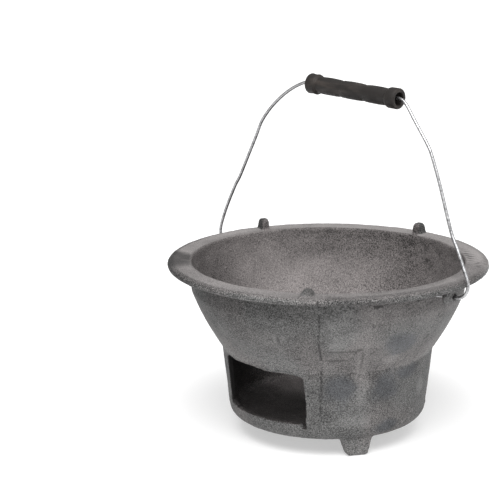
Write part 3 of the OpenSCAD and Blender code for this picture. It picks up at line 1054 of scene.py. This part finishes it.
# Points of the hand-bent arch on each side, from the leg to the grip, as (x, height).
ARCH_RIGHT = [
    (LEG_X, HOOK_R), (LEG_X - 0.2, 14), (151.3, 18.5), (146.3, 27.7), (138.6, 41.8), (131, 54),
    (123.2, 71), (116, 88), (108.5, 104.7), (100.2, 121.6), (94.8, 130), (86.5, 139.8), (76, 152),
    (69.5, 160), (64, 165.6), (58, top_h(58)), (52, top_h(52)),
]
ARCH_LEFT = [
    (-LEG_X, HOOK_R), (-LEG_X - 0.7, 16), (-153.2, 23), (-147.6, 41), (-138.7, 62.4),
    (-132.8, 73.2), (-124, 94.2), (-115.3, 115), (-111.6, 125), (-107.6, 132.8), (-98, 145),
    (-85, 157), (-72, 165.8), (-61, 171), (-54, top_h(-54)), (-48, top_h(-48)),
]


def smooth_line(points, steps):
    """A Catmull-Rom curve through points."""
    p = np.array([points[0], *points, points[-1]], float)
    out = []
    for a, b, c, d in zip(p, p[1:], p[2:], p[3:]):
        for t in np.arange(steps) / steps:
            out.append(0.5 * (2 * b + (c - a) * t + (2 * a - 5 * b + 4 * c - d) * t**2
                              + (3 * b - a - 3 * c + d) * t**3))
    return out + [p[-1]]


def tail_and_hook(side):
    """The wire's centre line from a tail's end, through its ear, to the top of the leg's bend."""
    across = np.array([side, 0, 0])
    route = [TAIL_X * across + s * TAIL_LEN * TAIL_WAY for s in (1, 0.8, 0.6, 0.4, 0.25)]
    route += [
        (TAIL_X + TAIL_BEND_R * (1 - math.cos(a))) * across
        + TAIL_BEND_R * (1 - math.sin(a)) * TAIL_WAY for a in np.radians(np.arange(0, 91, 10))
    ]
    route += [x * across for x in THROUGH_EAR_X]
    route += [
        (LEG_X - HOOK_R + HOOK_R * math.sin(a)) * across + HOOK_R * (1 - math.cos(a)) * BAIL_UP
        for a in np.radians(np.arange(0, 85, 8))
    ]
    return route


def arch(points):
    return [np.array([x, 0, 0]) + height * BAIL_UP for x, height in smooth_line(points, 6)]


def make_bail():
    route = tail_and_hook(1) + arch(ARCH_RIGHT)
    route += [np.array([x, 0, 0]) + top_h(x) * BAIL_UP for x in range(44, -41, -12)]
    route += (tail_and_hook(-1) + arch(ARCH_LEFT))[::-1]
    points, faces = swept([p + BAIL_AXIS for p in route], WIRE_R - WIRE_INSET, 24)
    made = mesh_object("bail_handle_wire", points, faces, galvanised_wire())
    bevel = made.modifiers.new("cut_ends", "BEVEL")
    bevel.width, bevel.segments, bevel.limit_method = CUT_BEVEL * MM, 2, "ANGLE"
    bevel.angle_limit = math.radians(60)
    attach(made, "bail")
    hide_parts("bail_wire")


GRIP_LEN, COLLAR_D, COLLAR_W, GRIP_D, GRIP_CROWN = 108.0, 19.6, 11.0, 16.8, 0.6
GRIP_BORE_D, GRIP_HOLLOW_D, GRIP_HOLLOW_DEPTH = 4.4, 12.0, 9.0


def grip_rings():
    """The grip's outline as (radius, place along it), from one end's hollow to the other's."""
    half, collar, body = GRIP_LEN / 2, COLLAR_D / 2, GRIP_D / 2
    bore, hollow, deep, bevel = GRIP_BORE_D / 2, GRIP_HOLLOW_D / 2, GRIP_HOLLOW_DEPTH, 1.2
    inner = half - COLLAR_W
    piece = 2 * inner / 3
    end = [(bore, deep - half), (hollow - 1.2, deep - half), (hollow, deep - half - 1.2)]
    end += [(hollow, -half + 3), (hollow, -half + 0.8), (hollow + 0.4, -half + 0.15)]
    end += [(collar - bevel - 0.3, -half), (collar - 0.4, -half + 0.35), (collar, bevel - half)]
    end += [(collar, -half + COLLAR_W / 2), (collar, -inner - 1.4), (collar - 0.4, -inner - 0.4)]
    end += [(body + 0.1, -inner - 0.1), (body - GRIP_CROWN, -inner + 0.6)]
    outline = list(end)
    for s in range(3):
        for k in range(13):
            at = -inner + (s + k / 12) * piece
            groove = 0.35 if k in (0, 12) and 0 < s + k / 12 < 3 else 0
            if inner - abs(at) > 1.5 and not (k == 0 and s):
                outline.append((body - GRIP_CROWN * (k / 6 - 1) ** 2 - groove, at))
    return outline + [(r, -at) for r, at in end[::-1]]


def make_grip():
    joint = ROW["grip_spin"]
    centre = np.array(joint["pos_m"]) / MM
    along = unit(np.array(joint["axis"], float))
    side = unit(np.cross([0, 0, 1.0], along))
    up = np.cross(along, side)
    outline = grip_rings()
    sides = 80
    turns = np.arange(sides) * 2 * math.pi / sides
    points, edge = [], []
    for r, at in outline:
        points.append(np.stack([np.full(sides, at), r * np.sin(turns), r * np.cos(turns)], axis=1))
        # Dust and a painted highlight round each collar's inner edge and each end.
        rim = bell(abs(at) - GRIP_LEN / 2 + COLLAR_W, 1.3) + bell(abs(at) - GRIP_LEN / 2, 1.3)
        edge.append(np.full(sides, 0.5 * rim if r > GRIP_HOLLOW_D / 2 + 0.2 else 0.0))
    points, edge = np.concatenate(points), np.concatenate(edge)
    r = np.hypot(points[:, 1], points[:, 2])
    # The moulding is a little uneven, with a mould line along each side of it.
    wobble = 0.16 * noise(points, 14, 91) + 0.08 * noise(points, 4, 92) - 0.12
    line = 0.16 * bell(points[:, 2], 0.7)
    # The collar at the -X end has a groove where the moulding's end was trimmed.
    groove = -0.7 * bell(points[:, 0] + GRIP_LEN / 2 - 6.0, 0.9)
    push = (wobble + line + groove) * (r > GRIP_HOLLOW_D / 2 + 0.5)
    points[:, 1:] += points[:, 1:] / r[:, None] * push[:, None]
    n = len(outline)
    faces = np.array([
        [i * sides + k, i * sides + (k + 1) % sides,
         (i + 1) % n * sides + (k + 1) % sides, (i + 1) % n * sides + k]
        for i in range(n) for k in range(sides)
    ])
    placed = centre + points @ np.array([along, side, up])
    made = mesh_object("handle_grip_moulding", placed, faces, grip_plastic())
    add_values(made, "edge", edge * ramp(noise(points, 5, 93), -0.5, 0.6))
    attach(made, "grip")
    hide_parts("handle_grip")


# ---- Stage ----------

AMBIENT = 0.5  # how strongly the white backdrop lights the stove
FLOOR_GLOW = 0.45  # a lit table top, which keeps the stove's shadow faint
FLOOR_HALF = 4000


def add_sun(name, azimuth, elevation, softness, strength):
    """A broad soft light from a direction given in degrees. Azimuth 0 is -Y, towards +X."""
    data = bpy.data.lights.new(name, "SUN")
    data.energy, data.angle = strength, math.radians(softness)
    light = bpy.data.objects.new(name, data)
    turn, rise = math.radians(azimuth), math.radians(elevation)
    level = math.cos(rise)
    towards = Vector((math.sin(turn) * level, -math.cos(turn) * level, math.sin(rise)))
    light.rotation_euler = towards.to_track_quat("Z", "Y").to_euler()
    bpy.context.scene.collection.objects.link(light)


def add_stage():
    points = [(x * FLOOR_HALF, y * FLOOR_HALF, 0) for x, y in ((-1, -1), (1, -1), (1, 1), (-1, 1))]
    paper = plain("floor", (0.6, 0.6, 0.6), 0.8)
    shader = paper.node_tree.nodes["Principled BSDF"]
    shader.inputs["Emission Color"].default_value = (1, 1, 1, 1)
    shader.inputs["Emission Strength"].default_value = FLOOR_GLOW
    floor = mesh_object("floor", points, [(0, 1, 2, 3)], paper)
    floor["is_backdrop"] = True
    scene = bpy.context.scene
    scene.world = bpy.data.worlds.new("studio")
    scene.world.use_nodes = True
    tree = scene.world.node_tree
    background = tree.nodes["Background"]
    background.inputs["Color"].default_value = (1, 1, 1, 1)
    # The backdrop looks white, and lights the stove with less than it shows.
    path = tree.nodes.new("ShaderNodeLightPath")
    level = tree.nodes.new("ShaderNodeMapRange")
    level.inputs["To Min"].default_value, level.inputs["To Max"].default_value = AMBIENT, 1.0
    tree.links.new(path.outputs["Is Camera Ray"], level.inputs["Value"])
    tree.links.new(level.outputs["Result"], background.inputs["Strength"])
    add_sun("key", 38, 58, 40, 3.2)
    add_sun("side", 100, 35, 60, 0.6)
    scene.view_settings.view_transform = "Standard"


add_camera()
make_casting()
make_grate()
make_bail()
make_grip()
add_stage()

bpy.context.view_layer.update()
low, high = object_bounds()
boxes = {"cad": [list(cad_low), list(cad_high)], "visual": [list(low), list(high)]}
{k: [[float(v) for v in c] for c in b] for k, b in boxes.items()}
